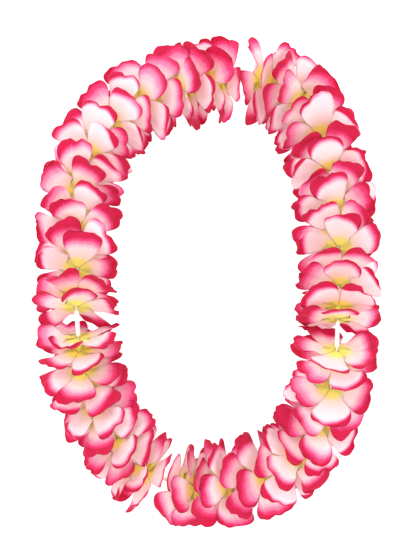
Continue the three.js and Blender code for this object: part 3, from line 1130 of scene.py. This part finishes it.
def poly_curve(name: str, points: Array, closed: bool) -> bpy.types.Object:
    """A curve of straight steps.

    Args:
        name: The curve's name.
        points: The points that it goes through, in metres.
        closed: True if it goes on to its start.

    Returns:
        Its object, which isn't in the scene yet.
    """
    data = bpy.data.curves.new(name, "CURVE")
    data.dimensions = "3D"
    spline = data.splines.new("POLY")
    spline.points.add(len(points) - 1)
    spline.points.foreach_set("co", np.column_stack([points, np.ones(len(points))]).ravel())
    spline.use_cyclic_u = closed
    return bpy.data.objects.new(name, data)


@dataclass
class Knot:
    """Turns of the thread round the string, between two short cut ends."""

    length: float = 7.0
    coil_share: float = 0.36
    turns: float = 3.0
    least_radius: float = 0.3
    swelling: float = 1.7
    fullness: float = 0.4
    margin: float = 0.05
    points: int = 61
    tail_along: float = 0.5
    tail_aside: float = 0.8
    first_tail: tuple[float, ...] = (4.0, 2.7, 1.4)
    last_tail: tuple[float, ...] = (1.5, 3.0, 4.5)
    twists: float = 16.0
    step: float = 0.6

    def line(self, start: Array, end: Array) -> Array:
        """The line of its thread, in the middle of a straight stretch of string.

        Args:
            start: Where the stretch starts.
            end: Where it ends.

        Returns:
            An array of points, one a row.
        """
        way = unit(end - start)
        sideways = unit(np.cross([0, 0, 1], way))
        upright = np.cross(way, sideways)
        t = np.linspace(0, 1, self.points)[:, None]
        share = np.clip(t * (1 + 2 * self.margin) - self.margin, 0, 1)
        swing = self.swelling * np.sin(math.pi * share) ** self.fullness + self.least_radius
        angle = TURN * self.turns * t
        coil = (start + end) / 2 + way * self.length * self.coil_share * (2 * t - 1)
        coil = coil + swing * (sideways * np.cos(angle) + upright * np.sin(angle))
        along, aside = way * self.tail_along, sideways * self.tail_aside
        first = coil[0] + (aside - along) * np.array(self.first_tail)[:, None]
        last = coil[-1] + (along + aside) * np.array(self.last_tail)[:, None]
        return np.concatenate([first, coil, last])


@dataclass
class Garland:
    """All the blooms in their runs, the string through them and the tubes between them."""

    runs: tuple[tuple[int, Facing], ...] = (
        (9, Facing.BACKWARD), (8, Facing.ONWARD), (7, Facing.BACKWARD), (5, Facing.ONWARD))
    knot_after_bloom: int = 4
    dye: PetalDye = PetalDye()
    route: Route = field(default_factory=Route)
    die: DieCutSheet = field(default_factory=DieCutSheet)
    spacer: Spacer = field(default_factory=Spacer)
    thread: Thread = field(default_factory=Thread)
    knot: Knot = field(default_factory=Knot)
    blooms: list[Bloom] = field(init=False)
    origin: Array = field(init=False)

    def __post_init__(self) -> None:
        """Sets every bloom on the string, and finds the route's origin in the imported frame."""
        total = sum(count for count, _ in self.runs)
        self.blooms = []
        for count, facing in self.runs:
            meeting_end = OPEN_END if facing is Facing.BACKWARD else STEEP_END
            for place in range(count)[::-facing]:
                stance = (meeting_end[place] if place < len(meeting_end)
                          else UPRIGHT_END[min(count - place, len(UPRIGHT_END)) - 1])
                distance = len(self.blooms) * self.route.length / total - facing * stance.pull
                self.blooms.append(Bloom(
                    self.route, self.die, len(self.blooms) + 1, facing, distance, stance))
        low, high = (np.array(corner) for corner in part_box("spacer_01"))
        self.origin = (low + high) / 2 / MM - self.spacer_ends(0).mean(axis=0)

    def gap(self, index: int) -> tuple[Array, Array, list[PetalLayer]]:
        """The straight stretch of string after a bloom.

        Args:
            index: The bloom's place in the list, from 0.

        Returns:
            The stretch's two ends and the layers that they are in.
        """
        here, following = self.blooms[index], self.blooms[(index + 1) % len(self.blooms)]
        layers = [here.outer if here.facing > 0 else here.inner,
                  following.inner if following.facing > 0 else following.outer]
        start, end = (self.route.placed(layer.distance, 0.0, layer.height)[0] for layer in layers)
        return start, end, layers

    def spacer_ends(self, index: int) -> Array:
        """The two ends of the spacer tube after a bloom.

        Args:
            index: The bloom's place in the list, from 0.

        Returns:
            An array of the two points, one a row.
        """
        start, end, layers = self.gap(index)
        way = unit(end - start)
        first, last = (self.spacer.room(layer.lean) for layer in layers)
        return np.array([start + way * first, end - way * last])

    def build_blooms(self) -> None:
        """Makes every bloom's piece."""
        material = self.dye.material()
        sheet = self.die.flat(material)
        for bloom in self.blooms:
            name = f"bloom_{bloom.number:02d}"
            mesh = bloom.mesh(sheet, self.origin)
            mesh.materials.append(material)
            piece_from(f"{name}_cloth", mesh, Slot.CLOTH, name)

    def build_spacers(self) -> None:
        """Makes every spacer tube's piece from one tree."""
        tree = self.spacer.tree()
        gaps = [bloom.number - 1 for bloom in self.blooms if bloom.number != self.knot_after_bloom]
        for number, index in enumerate(gaps, start=1):
            name = f"spacer_{number:02d}"
            start, end = (self.spacer_ends(index) + self.origin) * MM
            mesh = tree.run(name, {"Length": float(np.linalg.norm(end - start))})
            way = Vector(end - start).to_track_quat("Z", "Y").to_matrix().to_4x4()
            mesh.transform(Matrix.Translation(Vector((start + end) / 2)) @ way)
            piece_from(f"{name}_tube", mesh, Slot.TUBE, name)

    def build_string(self) -> None:
        """Makes the string's piece: its strands all round, and the knot in the gap with no tube."""
        tree = self.thread.tree()
        ends = [end for index in range(len(self.blooms)) for end in self.gap(index)[:2]]
        route = (np.array(ends[-1:] + ends[:-1]) + self.origin) * MM
        turns = (self.knot.line(*self.gap(self.knot_after_bloom - 1)[:2]) + self.origin) * MM
        loop = tree.run("string_loop", carrier=poly_curve("string_route", route, True))
        knot = tree.run("knot", {"Turns": self.knot.twists, "Step": self.knot.step * MM},
                        poly_curve("knot_route", turns, False))
        piece_from("string_thread", sealed(loop, knot), Slot.THREAD, "string_loop")


@dataclass(frozen=True)
class SoftLight:
    """A square soft light that points at the lei. Its place and its side are in metres."""

    name: str
    place: tuple[float, float, float]
    side: float
    watts: float

    def hang(self) -> None:
        """Puts the light in the scene."""
        data = bpy.data.lights.new(self.name, "AREA")
        data.size = self.side
        data.energy = self.watts
        lamp = in_scene(bpy.data.objects.new(self.name, data))
        lamp.location = self.place
        lamp.rotation_euler = (-Vector(self.place)).to_track_quat("-Z", "Y").to_euler()


@dataclass
class Studio:
    """The white table, soft light from all round and a camera that looks straight down.

    Sizes are in metres, apart from the camera's sensor, which is in millimetres.
    """

    camera_height: float = 1.15
    frame_height: float = 0.518
    hub_height: float = 0.027
    centre: Span = (0.0025, 0.0035)
    sensor: float = 24.0
    table_size: float = 6.0
    sky: float = 1.33
    lights: tuple[SoftLight, ...] = (
        SoftLight("key", (-0.7, 0.9, 1.6), 1.1, 17.0),
        SoftLight("fill", (0.9, -0.5, 1.5), 1.4, 8.0))
    finish: WhiteTable = WhiteTable()

    def build(self) -> None:
        """Sets up the table, the lights and the camera."""
        half = self.table_size / 2
        table = bpy.data.meshes.new("table")
        table.from_pydata(
            [(-half, -half, 0), (half, -half, 0), (half, half, 0), (-half, half, 0)], [],
            [(0, 1, 2, 3)])
        table.materials.append(self.finish.material())
        table_object = in_scene(bpy.data.objects.new("table", table))

        world = bpy.data.worlds.new("studio")
        bpy.context.scene.world = world
        world.use_nodes = True
        background = world.node_tree.nodes["Background"].inputs
        background["Color"].default_value = (1.0, 1.0, 1.0, 1.0)
        background["Strength"].default_value = self.sky
        for light in self.lights:
            light.hang()

        data = bpy.data.cameras.new("camera")
        data.sensor_fit = "VERTICAL"
        data.sensor_height = self.sensor
        data.lens = self.sensor * self.camera_height / self.frame_height
        camera = in_scene(bpy.data.objects.new("camera", data))
        camera.location = (*self.centre, self.hub_height + self.camera_height)
        bpy.context.scene.camera = camera
        bpy.context.scene.view_settings.view_transform = "Standard"
        log.info("studio ready")


def main() -> None:
    """Builds the lei and its studio."""
    Studio().build()
    garland = Garland()
    garland.build_blooms()
    garland.build_spacers()
    garland.build_string()


if __name__ == "__main__":
    main()
